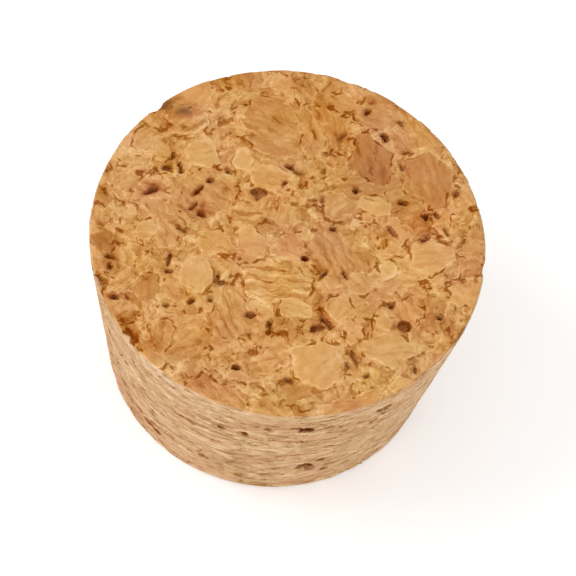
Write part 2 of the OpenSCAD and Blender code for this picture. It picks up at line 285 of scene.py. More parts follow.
# Across, along, length, breadth, turn, darkness
FLECKS: Rows = (
    (-3.3, 4.1, 1.6, 0.9, 5, 1.0),
    (-3.3, 3.7, 0.9, 0.6, 80, 0.9),
    (-11.6, 4.9, 0.9, 0.4, 5, 0.8),
    (-10.5, 5.1, 1.2, 0.4, -65, 0.3),
    (-7.7, 4.35, 0.6, 0.5, 0, 1.0),
    (-8.6, 3.1, 1.6, 0.5, 60, 0.7),
    (-8.7, 1.4, 1.1, 0.5, 60, 0.6),
    (-7.85, 0.9, 1.0, 0.7, -70, 0.6),
    (-7.9, 1.8, 0.8, 0.4, 80, 0.5),
    (-1.1, 7.2, 1.0, 0.5, -15, 0.65),
    (-0.3, 6.8, 1.4, 0.4, -20, 0.6),
    (1.0, 6.6, 1.0, 0.4, 25, 0.5),
    (-1.9, 7.7, 0.5, 0.4, 0, 0.5),
    (-1.25, 5.6, 0.6, 0.5, 30, 0.9),
    (0.2, 5.4, 0.6, 0.4, -20, 0.7),
    (-6.3, 5.65, 1.0, 0.4, -30, 0.7),
    (-12.6, 2.1, 1.8, 0.6, 35, 0.6),
    (-13.6, 2.2, 0.9, 0.3, -35, 0.4),
    (-11.3, 6.2, 0.8, 0.5, -80, 0.6),
    (-16.6, 3.4, 1.0, 0.4, 55, 0.5),
    (-16.6, 1.2, 1.3, 0.5, -55, 0.6),
    (-8.0, 15.2, 0.8, 0.6, 60, 0.6),
    (-6.9, 14.8, 0.8, 0.4, 60, 0.4),
    (-10.95, 9.2, 0.7, 0.5, 0, 0.6),
    (-11.7, 8.1, 0.5, 0.5, 0, 0.6),
    (-12.3, 9.0, 1.0, 0.5, 20, 0.5),
    (-8.4, 11.9, 0.5, 0.4, 0, 0.5),
    (-6.0, 12.6, 0.8, 0.4, -30, 0.4),
    (-5.4, 12.2, 0.5, 0.4, 0, 0.4),
    (-2.2, 16.3, 0.6, 0.5, 0, 0.5),
    (-6.2, 3.6, 0.7, 0.5, 80, 0.5),
    (-3.0, 10.5, 1.6, 0.4, -20, 0.3),
    (6.7, 12.1, 1.1, 0.7, -45, 1.0),
    (4.8, 14.3, 1.0, 0.6, 60, 0.9),
    (5.1, 15.4, 0.7, 0.3, 90, 0.6),
    (3.9, 13.3, 0.6, 0.4, 0, 0.6),
    (11.5, 4.9, 0.7, 0.6, 20, 1.0),
    (9.3, 5.85, 1.0, 0.5, 0, 0.8),
    (13.75, 7.8, 0.8, 0.5, 80, 0.7),
    (13.1, 6.3, 0.7, 0.3, 90, 0.6),
    (12.4, 5.3, 1.0, 0.4, -40, 0.6),
    (13.4, 3.9, 1.0, 0.35, -55, 0.5),
    (14.4, 5.9, 0.6, 0.4, -30, 0.4),
    (5.0, 6.15, 0.7, 0.6, 70, 0.8),
    (5.6, 6.2, 0.5, 0.4, 0, 0.5),
    (3.75, 1.9, 0.8, 0.6, 10, 0.9),
    (4.5, 2.65, 0.7, 0.4, 40, 0.6),
    (2.3, 4.5, 1.2, 0.35, -75, 0.6),
    (2.0, 3.4, 0.4, 0.4, 0, 0.4),
    (11.8, 2.55, 1.4, 0.4, 42, 0.6),
    (8.8, 2.8, 1.8, 0.45, -40, 0.5),
    (8.1, 3.9, 0.9, 0.4, -70, 0.4),
    (7.4, 2.3, 0.9, 0.4, -45, 0.4),
    (8.7, 10.7, 1.4, 0.45, 70, 0.5),
    (8.5, 9.5, 1.3, 0.4, -55, 0.5),
    (8.8, 8.3, 0.9, 0.4, 85, 0.5),
    (2.8, 10.8, 0.8, 0.5, 0, 0.5),
    (3.2, 11.7, 0.8, 0.5, 90, 0.5),
    (2.3, 11.4, 0.8, 0.4, -45, 0.5),
    (1.8, 9.3, 0.6, 0.4, 90, 0.5),
    (2.2, 8.3, 0.5, 0.4, 0, 0.5),
    (1.6, 10.3, 0.8, 0.3, 90, 0.35),
    (1.5, 15.3, 0.7, 0.6, 0, 0.5),
    (7.8, 13.8, 0.8, 0.4, -45, 0.5),
    (15.1, 3.0, 1.0, 0.3, -85, 0.5),
    (-2.2, -13.4, 0.9, 0.6, 0, 1.0),
    (-1.95, -8.1, 1.3, 0.6, 20, 0.5),
    (-1.2, -7.9, 0.7, 0.3, -20, 0.6),
    (-9.7, -5.35, 1.0, 0.5, 0, 0.6),
    (-9.8, -4.2, 1.6, 0.4, 85, 0.8),
    (-9.9, -3.4, 0.5, 0.4, 0, 0.6),
    (-5.35, -5.0, 1.4, 0.35, 85, 0.7),
    (-4.85, -5.55, 0.8, 0.45, 25, 0.8),
    (-7.2, -7.8, 1.0, 0.5, 50, 0.9),
    (-9.2, -8.75, 0.7, 0.5, 0, 0.7),
    (-5.6, -7.3, 0.6, 0.4, 60, 0.6),
    (-6.3, -7.05, 0.9, 0.3, 0, 0.4),
    (-14.8, -5.1, 1.3, 0.6, -10, 0.7),
    (-14.8, -6.0, 1.0, 0.45, -70, 0.7),
    (-16.4, -2.0, 0.9, 0.5, -30, 0.7),
    (-13.9, -8.9, 1.1, 0.7, 20, 0.8),
    # Painted shade: this row's darkness is raised past its own colour for the shade in a pit at the front
    # left rim
    (-11.65, -12.25, 2.0, 0.6, -46, 1.6),
    (-12.5, -11.3, 1.4, 0.6, -45, 0.5),
    # Painted shade of a broken section of the front left rim, over its own dark colour
    (-15.4, -7.6, 2.2, 0.9, -55, 0.9),
    (-9.4, -0.95, 1.6, 0.5, -25, 0.7),
    (-10.2, -0.6, 0.8, 0.4, 0, 0.5),
    (-11.4, -6.6, 0.7, 0.5, 0, 0.5),
    (-4.8, -2.4, 0.6, 0.4, 0, 0.4),
    (-4.3, -2.9, 0.6, 0.4, 0, 0.5),
    (0.0, -8.6, 1.4, 0.4, -80, 0.8),
    (-0.2, -9.5, 0.7, 0.5, 0, 0.8),
    (0.4, -9.5, 0.8, 0.3, 30, 0.4),
    (-5.8, -13.2, 0.9, 0.4, 0, 0.5),
    (-1.85, -14.8, 0.9, 0.3, 75, 0.5),
    (-4.4, -14.2, 0.6, 0.4, 60, 0.5),
    (-4.2, -14.9, 0.7, 0.4, 0, 0.5),
    (-10.8, -13.4, 0.7, 0.4, -40, 0.6),
    (0.4, -16.6, 0.6, 0.4, 0, 0.5),
    (-0.6, -16.8, 0.6, 0.4, 0, 0.5),
    (-10.4, -1.9, 0.5, 0.35, 0, 0.5),
    (-12.7, -4.2, 0.8, 0.3, -70, 0.35),
    (1.8, -1.5, 0.9, 0.7, -10, 1.5),
    (3.6, -2.8, 1.6, 0.4, 65, 0.8),
    (5.4, -2.3, 1.4, 0.4, -55, 0.6),
    (11.35, -6.3, 1.2, 1.1, 0, 1.0),
    (10.4, -6.6, 1.0, 0.4, 80, 0.6),
    (4.6, -7.2, 2.1, 0.42, -38, 1.0),
    (4.0, -8.0, 1.3, 0.5, 12, 0.8),
    (3.6, -8.5, 0.8, 0.4, 0, 0.8),
    (9.9, -4.6, 0.8, 0.5, 85, 0.7),
    (14.3, -4.7, 0.6, 0.5, -50, 0.9),
    (7.5, -10.2, 1.7, 0.4, -55, 0.6),
    (7.2, -11.2, 1.0, 0.4, -50, 0.5),
    (6.5, -10.0, 0.6, 0.4, -50, 0.5),
    (9.0, -11.75, 0.6, 0.5, 0, 0.7),
    (13.1, -10.4, 1.0, 0.4, -70, 0.6),
    (12.4, -11.2, 1.6, 0.3, -10, 0.4),
    (2.5, -13.7, 1.0, 0.45, -35, 0.7),
    (0.9, -8.35, 0.6, 0.4, 20, 0.6),
    (2.3, -8.5, 0.8, 0.5, 20, 0.4),
    (4.7, -14.9, 0.5, 0.5, 0, 0.4),
    (8.1, -13.7, 0.7, 0.4, 0, 0.4),
    (8.3, -3.3, 0.5, 0.4, 90, 0.5),
    (12.7, -6.8, 0.8, 0.4, -60, 0.4),
    (3.2, -4.5, 0.5, 0.3, 0, 0.4),
    (4.1, -4.5, 0.7, 0.3, 50, 0.4),
    (3.7, -5.6, 1.2, 0.3, -80, 0.3),
    (16.8, -0.4, 0.9, 0.5, 90, 0.6),
    # These three faint rows darken the notch in the upper left rim: painted shade in the notch
    (-11.3, 10.7, 1.7, 0.5, 0, 0.2),
    (-10.9, 10.6, 0.5, 1.1, 0, 0.2),
    (-12.9, 11.1, 1.2, 0.5, 50, 0.25),
)
# Across, along, length, breadth, turn, darkness
SMUDGES_AND_SHADE: Rows = (
    # The first two rows paint the grey-brown shade in the notch of the upper left rim
    (-11.2, 10.8, 1.9, 1.2, 20, 0.46),
    (-12.9, 11.0, 2.0, 0.9, 50, 0.55),
    (-11.7, 11.0, 3.4, 2.2, 20, 0.07),
    (-12.5, 2.45, 1.9, 0.9, 35, 0.3),
    (-12.2, 9.0, 1.4, 1.0, 0, 0.1),
    (-14.9, -5.4, 2.6, 2.4, 0, 0.1),
    (-15.8, -2.8, 2.0, 2.6, 0, 0.1),
    (-16.2, 0.5, 1.6, 3.0, 0, 0.05),
    (-12.4, -11.3, 1.8, 1.0, -45, 0.1),
    (-13.3, -10.0, 2.4, 1.8, -45, 0.08),
    (-9.4, -13.2, 1.6, 2.8, 0, 0.17),
    (-5.2, -15.4, 3.2, 1.2, -10, 0.1),
    (-5.8, -14.1, 2.4, 1.6, -10, 0.1),
    (-2.2, -14.5, 2.0, 1.4, 0, 0.09),
    (-4.2, -11.7, 2.0, 1.8, 0, 0.13),
    (7.5, -8.1, 1.8, 1.4, 0, -0.1),
    (-8.8, 4.1, 1.8, 1.2, 0, -0.1),
    (-7.9, 10.7, 1.6, 1.4, 0, -0.16),
    (-13.6, -7.1, 2.2, 1.8, 0, -0.06),
    (2.9, -16.3, 4.2, 1.2, 8, 0.08),
    (8.2, -14.6, 1.6, 1.8, 20, 0.1),
    (14.0, -5.4, 1.4, 1.6, 0, 0.12),
    (15.6, -6.2, 1.2, 1.4, 0, 0.12),
    (7.2, 7.6, 2.0, 2.2, 30, 0.07),
    (2.8, 11.4, 2.2, 1.8, 0, 0.08),
    (-8.0, 1.0, 1.8, 2.0, 0, 0.07),
    (-1.8, -8.4, 1.8, 1.8, 0, 0.08),
    (3.9, -8.2, 2.6, 1.6, 0, 0.08),
    (11.2, -6.3, 2.2, 2.0, 0, 0.12),
    (0.2, -9.4, 1.8, 1.6, 0, 0.06),
    (-11.6, 4.7, 1.6, 1.2, 0, -0.06),
    # These two faint rows are partly painted shade along the back rim
    (0.5, 15.2, 9.0, 3.6, 0, 0.03),
    (-4.0, 13.2, 8.0, 4.0, 10, 0.03),
    (7.8, 2.8, 2.6, 2.2, 0, 0.08),
    (8.8, -4.4, 3.2, 2.6, 0, 0.08),
    (0.0, -0.2, 2.4, 2.0, 0, 0.07),
    (-6.5, -12.8, 4.0, 2.0, 0, 0.06),
    (-13.0, 7.0, 2.2, 2.4, 0, -0.04),
    (-12.5, -4.5, 2.4, 2.6, 0, -0.05),
    (-5.1, -4.8, 2.2, 2.2, 0, -0.08),
    (-7.5, 11.4, 2.8, 2.6, 0, -0.05),
)
# Angle around, height, length around, height of the fleck, darkness
SIDE_FLECKS: Rows = (
    (-73.6, 16.2, 1.4, 1.0, 1.2),
    (-77.0, 16.7, 1.3, 0.8, 0.7),
    (-92, 14.0, 0.8, 0.9, 0.65),
    (-100, 14.0, 1.4, 0.7, 0.6),
    (-102.5, 12.2, 1.6, 0.5, 0.4),
    # Painted shade: the side of the same rim pit, darkened past its own colour
    (-133.5, 19.8, 2.0, 0.9, 1.2),
    (-153.0, 19.8, 1.6, 0.8, 0.5),
    (-137.2, 12.9, 1.3, 0.7, 1.0),
    (-141.0, 6.4, 1.5, 0.6, 1.0),
    (-139.8, 5.2, 1.5, 0.55, 0.9),
    (-138.2, 4.1, 1.7, 0.55, 0.8),
    (-132.0, 4.4, 1.0, 0.7, 0.6),
    (-119.5, 14.0, 0.7, 0.8, 0.4),
    (-70, 6.1, 1.5, 0.7, 0.7),
    (-68, 5.2, 1.2, 0.7, 0.7),
    (-62, 4.2, 1.1, 1.0, 0.9),
    (-65, 7.2, 1.0, 0.8, 0.6),
    (-58, 6.5, 1.8, 0.5, 0.4),
    (-104, 4.4, 1.2, 1.0, 0.5),
    (-91, 4.6, 1.3, 0.8, 0.5),
    (-91.5, 2.6, 0.9, 1.0, 0.5),
    (-127.2, 3.9, 1.3, 0.8, 0.7),
    (-125.0, 3.5, 1.5, 0.9, 0.75),
    (-122.8, 3.4, 1.2, 0.8, 0.8),
    (-49.5, 16.8, 1.9, 1.0, 1.0),
    (-47, 13.3, 1.6, 0.8, 0.3),
    (-85, 16.1, 0.8, 0.8, 0.6),
    (-88, 16.4, 0.7, 0.5, 0.4),
    (-66.5, 16.3, 1.5, 0.7, 0.4),
    (-109, 12.2, 2.4, 0.8, 0.35),
    (-103, 9.9, 2.8, 0.6, 0.3),
    (-79, 12.2, 1.6, 0.6, 0.3),
    (-79.5, 9.0, 0.8, 0.8, 0.3),
    (-113, 11.8, 0.7, 0.8, 0.3),
    (-84, 1.0, 2.0, 1.2, 0.3),
)
# Angle around, height, length around, height of the smudge, darkness. A row with a negative darkness is
# painted light, mostly under the top rim and at the right end; the others darken the side, mostly low down
SIDE_SMUDGES_AND_LIGHT: Rows = (
    (-105, 18.6, 12.0, 3.0, -0.09),
    (-130, 17.5, 8.0, 5.0, -0.02),
    (-75, 19.2, 7.0, 1.0, -0.07),
    (-48, 18.0, 6.0, 3.0, -0.09),
    (-52, 11.0, 6.0, 14.0, -0.03),
    (-50, 4.0, 7.0, 7.0, -0.05),
    (-30, 11.0, 6.0, 14.0, -0.08),
    (-144, 4.0, 6.0, 8.0, 0.08),
    (-80, 17.0, 8.0, 3.0, 0.07),
    (-68, 15.0, 6.0, 4.0, 0.06),
    (-128, 3.0, 5.0, 3.0, 0.06),
    (-140, 6.0, 4.0, 5.0, 0.06),
    (-66, 6.0, 6.0, 3.0, 0.05),
    (-92, 3.5, 5.0, 3.0, 0.05),
    (-110, 12.0, 5.0, 2.5, 0.06),
    (-88, 11.0, 5.0, 3.0, -0.05),
    (-135, 15.0, 5.0, 5.0, -0.05),
    (-118, 16.0, 5.0, 3.0, -0.02),
)


@dataclass(frozen=True)
class Landmarks:
    """The granules, flecks and smudges that can be told one by one on this stopper.

    They are written on the mesh as attributes: known_granule (mm outside the nearest one, its tone,
    its share of grain), known_grain (its heading across and along, its share of growth rings) and
    fleck (mm outside the nearest one, its darkness, the sum of smudges, painted light and shade). A
    few flecks and smudges are painted shade, in the rim's notch, chip and pits, faintly along the
    back rim and in the side's slits, and the side's paler smudges are painted light. On the wide end
    a row starts with its place in mm, and on the side with its angle and height.
    """

    size: StopperSize = StopperSize()
    # How far granules and smudges reach into the wide end, and flecks. A side's marks reach deeper,
    # so that a slit's walls are dark too: painted shade in the slit, over the fleck's own dark colour
    granule_deep_mm: float = 1.2
    fleck_deep_mm: float = 0.6
    side_times_deeper: float = 2.0
    # A known granule is a broken chip with this many flat sides, each off by up to these shares
    chip_sides: int = 6
    chip_turn: float = 0.3
    chip_reach: tuple[float, float] = (0.80, 1.08)
    far_mm: float = 9.0
    granules: Rows = GRANULES
    flecks: Rows = FLECKS
    # The smudges hold a few rows of painted shade, and the side's smudges hold painted light
    smudges: Rows = SMUDGES_AND_SHADE
    side_flecks: Rows = SIDE_FLECKS
    side_smudges_and_light: Rows = SIDE_SMUDGES_AND_LIGHT

    def write(self, mesh: bpy.types.Mesh) -> None:
        """Write the landmarks on a mesh as its attributes.

        Args:
            mesh: The stopper's mesh, in metres.
        """
        flat = np.empty(len(mesh.vertices) * 3, dtype=np.float32)
        mesh.vertices.foreach_get("co", flat)
        points = flat.reshape(-1, 3) / MM
        granule, grain = self.granule_values(points)
        fleck = self.fleck_values(points)
        fleck[:, 2] = self.smudge_light_shade_values(points)
        for name, values in (("known_granule", granule), ("known_grain", grain), ("fleck", fleck)):
            attribute = mesh.attributes.new(name, "FLOAT_VECTOR", "POINT")
            attribute.data.foreach_set("vector", values.astype(np.float32).ravel())

    def granule_values(self, points: np.ndarray) -> tuple[np.ndarray, np.ndarray]:
        """Work out what the known granules give.

        Args:
            points: Points in mm.

        Returns:
            The known_granule and the known_grain attribute at the points.
        """
        granule = np.tile((self.far_mm, 0.0, 0.0), (len(points), 1))
        grain = np.zeros_like(points)
        for seed, (across, along, length, breadth, turn, tone, share, rings) in enumerate(self.granules):
            local = self.turned(points, (across, along, self.size.height_mm), turn)
            rng = np.random.default_rng(seed)
            away = np.abs(local[:, 2]) - self.granule_deep_mm
            for side in range(self.chip_sides):
                way = (side + rng.uniform(-self.chip_turn, self.chip_turn)) * 2 * math.pi / self.chip_sides
                reach = math.hypot(length / 2 * math.cos(way), breadth / 2 * math.sin(way))
                reach *= rng.uniform(*self.chip_reach)
                away = np.maximum(away, local[:, 0] * math.cos(way) + local[:, 1] * math.sin(way) - reach)
            near = away < granule[:, 0]
            granule[near, 0] = away[near]
            granule[near, 1:] = tone, share
            heading = math.radians(turn)
            grain[near] = math.cos(heading), math.sin(heading), rings
        return granule, grain

    def fleck_values(self, points: np.ndarray) -> np.ndarray:
        """Work out the nearest fleck.

        Args:
            points: Points in mm.

        Returns:
            At each point its distance in mm, its darkness and a 0.
        """
        fleck = np.tile((self.far_mm, 0.0, 0.0), (len(points), 1))
        for middle, turn, half, dark in self.marks(self.flecks, self.side_flecks, self.fleck_deep_mm):
            local = self.turned(points, middle, turn) / half
            reach = np.linalg.norm(local, axis=1)
            steep = np.linalg.norm(local / half, axis=1)
            away = reach * (reach - 1) / np.maximum(steep, TINY)
            near = away < fleck[:, 0]
            fleck[near, 0] = away[near]
            fleck[near, 1] = dark
        return fleck

    def smudge_light_shade_values(self, points: np.ndarray) -> np.ndarray:
        """Work out how much the smudges darken the cork, and how the painted light and shade lighten and
        darken it.

        Args:
            points: Points in mm.

        Returns:
            The sum of the smudges, painted light and painted shade at each point.
        """
        shade = np.zeros(len(points))
        for middle, turn, half, dark in self.marks(self.smudges, self.side_smudges_and_light, self.granule_deep_mm):
            local = self.turned(points, middle, turn) / half
            shade += dark * np.exp(-np.sum(local**2, axis=1))
        return shade

    def marks(self, on_end: Rows, on_side: Rows, deep: float) -> list[tuple]:
        """Turn rows into ellipsoids around points of the surface.

        Args:
            on_end: The rows of the wide end.
            on_side: The rows of the side.
            deep: How far a mark reaches into the wide end, in mm.

        Returns:
            Each mark's middle in mm, turn in degrees, three half sizes in mm and darkness.
        """
        marks = []
        for across, along, length, breadth, turn, dark in on_end:
            half = np.array((length / 2, breadth / 2, deep))
            marks.append(((across, along, self.size.height_mm), turn, half, dark))
        for angle, height, length, tall, dark in on_side:
            half = np.array((length / 2, self.side_times_deeper * deep, tall / 2))
            marks.append((self.size.side_point(angle, height), angle + 90, half, dark))
        return marks

    @staticmethod
    def turned(points: np.ndarray, middle: tuple[float, ...], turn: float) -> np.ndarray:
        """Turn points into a mark's own frame.

        Args:
            points: Points in mm.
            middle: The mark's middle in mm.
            turn: The mark's turn in degrees.

        Returns:
            The points along, across and through the mark.
        """
        way = math.radians(turn)
        spin = np.array([[math.cos(way), -math.sin(way), 0], [math.sin(way), math.cos(way), 0], [0, 0, 1]])
        return (points - np.array(middle)) @ spin


@dataclass
class StopperBody:
    """The stopper's own piece: the turned body with the relief of its granules."""

    node: str = "stopper"
    # How near loose corners are joined, and the grid of the even skin
    merge: float = 0.002 * MM
    voxel: float = 0.216 * MM
    # How deep the deepest granule lies, and the grooves and flecks, and the width of a groove
    sink: float = 0.10 * MM
    groove: float = 0.06 * MM
    groove_w_mm: float = 0.22
    fleck_deep: float = 0.15 * MM
    # A granule's depth is its random number to this power, so few lie deep
    sink_power: float = 2.0
    # How many mm outside a fleck's outline its hollow starts and is full
    fleck_span: Span = (0.05, -0.15)
    # How far outside the skin a ray starts, and how often the skin's normals are evened out
    lift: float = 1.6 * MM
    even_out: int = 12
    granules: GranuleField = field(default_factory=GranuleField)

    def build(self) -> bpy.types.Object:
        """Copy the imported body, give it an even skin, drop that onto it and press in the relief.

        Returns:
            The finished mesh object, at the origin.
        """
        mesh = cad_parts[self.node].data.copy()
        mesh.materials.clear()
        piece = bpy.data.objects.new("stopper_body", mesh)
        bpy.context.scene.collection.objects.link(piece)
        bpy.ops.object.select_all(action="DESELECT")
        piece.select_set(True)
        bpy.context.view_layer.objects.active = piece
        bpy.ops.object.mode_set(mode="EDIT")
        bpy.ops.mesh.select_all(action="SELECT")
        bpy.ops.mesh.remove_doubles(threshold=self.merge)
        bpy.ops.object.mode_set(mode="OBJECT")
        remesh = piece.modifiers.new("even_skin", "REMESH")
        remesh.mode = "VOXEL"
        remesh.voxel_size = self.voxel
        bpy.ops.object.modifier_apply(modifier=remesh.name)
        Landmarks().write(piece.data)
        relief = piece.modifiers.new("granule_relief", "NODES")
        relief.node_group = self.relief_group()
        bpy.ops.object.modifier_apply(modifier=relief.name)
        bpy.ops.object.shade_smooth()
        return piece

    def relief_group(self) -> Tree:
        """Make the node group that drops the skin, sinks each granule and opens its edges.

        Returns:
            The node group for the modifier.
        """
        tree = bpy.data.node_groups.new("granule_relief", "GeometryNodeTree")
        tree.interface.new_socket("Geometry", in_out="INPUT", socket_type="NodeSocketGeometry")
        tree.interface.new_socket("Geometry", in_out="OUTPUT", socket_type="NodeSocketGeometry")
        start = add(tree, "NodeGroupInput")
        position = add(tree, "GeometryNodeInputPosition")[0]
        normal = add(tree, "GeometryNodeInputNormal")[0]
        # The way out of the sound surface, whatever pore a point lies in
        normal = {"Value": normal, "Iterations": self.even_out}
        normal = add(tree, "GeometryNodeBlurAttribute", normal, data_type="FLOAT_VECTOR")[0]
        normal = add(tree, VECTOR, (normal,), "NORMALIZE")[0]
        known, fleck = (
            add(tree, "GeometryNodeInputNamedAttribute", {"Name": name}, data_type="FLOAT_VECTOR")[0]
            for name in ("known_granule", "fleck")
        )
        cells = self.granules.build(tree, position, known)
        # Few granules lie deep, and no known one does
        low = add(tree, MATH, (cells["odds"][1], self.sink_power), "POWER")[0]
        low = add(tree, MIX, {0: cells["inside"], 2: low, 3: 0.0})[0]
        depth = add(tree, MATH, (low, -self.sink), "MULTIPLY")[0]
        groove = add(tree, RANGE, (cells["edge"], self.groove_w_mm, 0.0), **SOFT)[0]
        mark = add(tree, PARTS, (fleck,))
        hollow = add(tree, RANGE, (mark[0], *self.fleck_span), **SOFT)[0]
        hollow = add(tree, MATH, (hollow, mark[1]), "MULTIPLY")[0]
        for mask, most in ((groove, self.groove), (hollow, self.fleck_deep)):
            depth = add(tree, MATH, (mask, -most, depth), "MULTIPLY_ADD")[0]
        offset = add(tree, VECTOR, {0: normal, "Scale": depth}, "SCALE")
        settled = self.settle(tree, position, normal)
        shift = {"Geometry": start[0], "Position": settled, "Offset": offset[0]}
        moved = add(tree, "GeometryNodeSetPosition", shift)
        add(tree, "NodeGroupOutput", (moved[0],))
        return tree

    def settle(self, tree: Tree, position: Socket, normal: Socket) -> Socket:
        """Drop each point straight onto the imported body, so that its thin slits stay open.

        Args:
            tree: The relief's node tree.
            position: The point on the even skin.
            normal: The way out of the skin there.

        Returns:
            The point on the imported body.
        """
        packed = add(tree, "GeometryNodeObjectInfo", {"Object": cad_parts[self.node]})
        source = (normal, (self.lift,) * 3, position)
        inward = {0: normal, "Scale": -1.0}
        ray = {
            "Target Geometry": packed["Geometry"],
            "Source Position": add(tree, VECTOR, source, "MULTIPLY_ADD")[0],
            "Ray Direction": add(tree, VECTOR, inward, "SCALE")[0],
            "Ray Length": 2 * self.lift,
        }
        ray = add(tree, "GeometryNodeRaycast", ray)
        found = {0: ray["Is Hit"], 4: position, 5: ray["Hit Position"]}
        return add(tree, MIX, found, data_type="VECTOR")[1]


class Region(Enum):
    """The two kinds of cork surface, named for how the flakes were cut."""

    END = "across the axis, through broad flakes"
    SIDE = "along the axis, through thin layers of flakes"


@dataclass(frozen=True)
class CorkFinish:
    """Agglomerated cork, sanded: matt, mottled tan with brown seams and dark gaps.

    Every feature lightens or darkens one lightness value, and a ramp turns that into a colour, so
    dark cork is also the redder cork, as in the bark. A name that ends in _span gives the values of
    a noise, a random number or a distance in mm that a mask is read from.
    """

    size: StopperSize = StopperSize()
    granules: GranuleField = field(default_factory=GranuleField)
    # Lightness, by a granule's random number
    end_tone_span: Span = (0.0, 1.0, 0.735, 0.86)
    side_tone_span: Span = (0.0, 1.0, 0.69, 0.88)
    # Each layer, and how far it lightens the ends and the side
    layers: tuple[tuple[str, float, float], ...] = (
        ("brown", -0.10, -0.05),
        ("patch", 0.20, 0.70),
        ("grain", 0.18, 0.22),
        ("fibre", 0.54, 0.18),
        ("streak", 0.0, 0.62),
        ("ring", -0.10, 0.0),
        ("seam", -0.17, -0.08),
        ("smudge", -0.10, -0.08),
        # A painted highlight on a granule's lip beside a chain of dark bits
        ("painted_highlight", 0.10, 0.04),
        ("chain", -0.26, -0.20),
        ("stroke", -0.20, -0.15),
        # Painted shade in the pores, by depth, over the walls' own dark brown
        ("pit_shade", -0.13, -0.23),
        ("halo", -0.09, -0.10),
        ("fleck", -0.32, -0.45),
        ("smudges_light_shade", -1.0, -1.0),
    )
    # The colours from a pore to the palest granule, by lightness
    ramp: tuple[float, ...] = (0.00, 0.20, 0.40, 0.56, 0.70, 0.80, 0.90, 1.00)
    end_ramp: str = "6A3200 8C4507 A15F21 B97B39 C98E4D D7A05D E5B271 F6C88C"
    side_ramp: str = "522906 7A4215 A4703A BF9365 D5AA79 DFB687 E9C498 F6D3AB"
    # Sizes of the mottle, of the grain and of the side's mottle. A real cell is 0.03 mm wide, and
    # the grain is drawn ten times as coarse, so that it shows
    patch_mm: float = 1.6
    grain_mm: float = 0.32
    streak_mm: float = 1.0
    # The palest granules have the least grain
    even_span: Span = (0.70, 0.85, 1.0, 0.5)
    # Fibres, which are rows of cells drawn as coarse as they need to show, and dark strokes in them
    fibre_mm: float = 0.48
    fibre_long_mm: float = 1.9
    stroke_mm: float = 0.6
    stroke_span: Span = (0.62, 0.72)
    # Growth rings: spacing, how far they wander, how broad they are and which granules show them
    ring_mm: float = 0.95
    ring_wander_mm: float = 1.8
    ring_span: Span = (0.3, 1.0)
    ringed_span: Span = (0.45, 0.9)
    # Few granules are dark brown all over
    brown_span: Span = (0.12, 0.0)
    # Between the granules: areas with much or little of what follows, its beads and its runs
    mood_mm: float = 2.2
    bead_mm: float = 0.5
    run_mm: float = 1.1
    # A seam by its breadth, and the runs in which it shows
    seam_span: Span = (0.20, 0.04)
    seam_run_span: Span = (0.44, 0.60)
    # A smudge beside a seam: its breadth by area, what a bead adds, and its soft edge
    smudge_breadth_span: Span = (0.48, 0.66, 0.0, 0.75)
    smudge_bead_mm: float = 0.9
    smudge_span: Span = (0.35, 0.95)
    # A chain of dark bits: its breadth by run and by area, what a bead adds, its edge, and the painted
    # highlight on the granule's lip beside it
    chain_breadth_span: Span = (0.46, 0.62, 0.0, 0.19)
    chain_mood_span: Span = (0.42, 0.56, 0.1, 1.0)
    chain_bead_mm: float = 0.07
    chain_span: Span = (0.0, 0.12)
    painted_highlight_span: Span = (-0.3, -0.05)
    # A pore gets painted shade from a depth on, over its walls' own dark brown; the grain frays that
    # depth, and the darkness breaks up into spots
    pit_shade_fray_mm: float = 1.2
    pit_shade_span: Span = (0.15, 0.50)
    spot_span: Span = (0.40, 0.60, 0.35, 1.0)
    # A fleck: size and reach in mm of the noises that fray it, its halo's edge and its own
    fleck_warps: Rows = ((0.6, 0.50), (0.2, 0.14))
    halo_span: Span = (0.30, -0.1)
    fleck_span: Span = (0.05, -0.13)
    # The ends turn into the side over this many mm around the rim
    rim_span: Span = (-0.1, 0.1)
    # A granule's hue, where 0.5 leaves it and more is yellower, by a random number. A known one has
    # that by its tone
    hue_span: Span = (0.0, 1.0, 0.493, 0.502)
    known_hue_span: Span = (0.6, 0.85, 0.0, 0.55)
    # Size of the areas that differ in hue and in greyness, and how far they do
    tint_mm: float = 4.5
    tint_reach: float = 0.022
    tint_grey: float = 0.16
    # A pale smudge leans to straw and a dark one to orange, but the darkest, among them the painted shade
    # in the notch of the upper left rim, are olive and greyer
    smear_hue_spans: Rows = ((-0.12, 0.12, 0.005, -0.004), (0.15, 0.40, 0.0, 0.016))
    smear_grey_span: Span = (0.15, 0.45, 1.0, 0.9)
    # The tooth that the sanding leaves, drawn coarser than real so that it shows
    grit_mm: float = 0.25
    grit_deep_mm: float = 0.1
    grit_strength: float = 0.6
    roughness: float = 0.85
    ior: float = 1.45
    gloss: float = 0.12

    def build(self) -> bpy.types.Material:
        """Make the material from the stopper's own object coordinates and attributes.

        Returns:
            The cork material.
        """
        # To the eye: no gloss, but flakes of many tans, each with its grain, and dark gaps between
        material = bpy.data.materials.new("agglomerated_cork")
        material.use_nodes = True
        tree = material.node_tree
        tree.nodes.clear()
        position = add(tree, "ShaderNodeTexCoord")["Object"]
        known, grain, fleck = (
            add(tree, "ShaderNodeAttribute", attribute_name=name)["Vector"]
            for name in ("known_granule", "known_grain", "fleck")
        )
        cells = self.granules.build(tree, position, known)
        on_side, depth = self.place(tree, position)
        masks = self.grain_masks(tree, cells, grain)
        masks |= self.seam_masks(tree, cells)
        masks |= self.mark_masks(tree, cells, fleck)
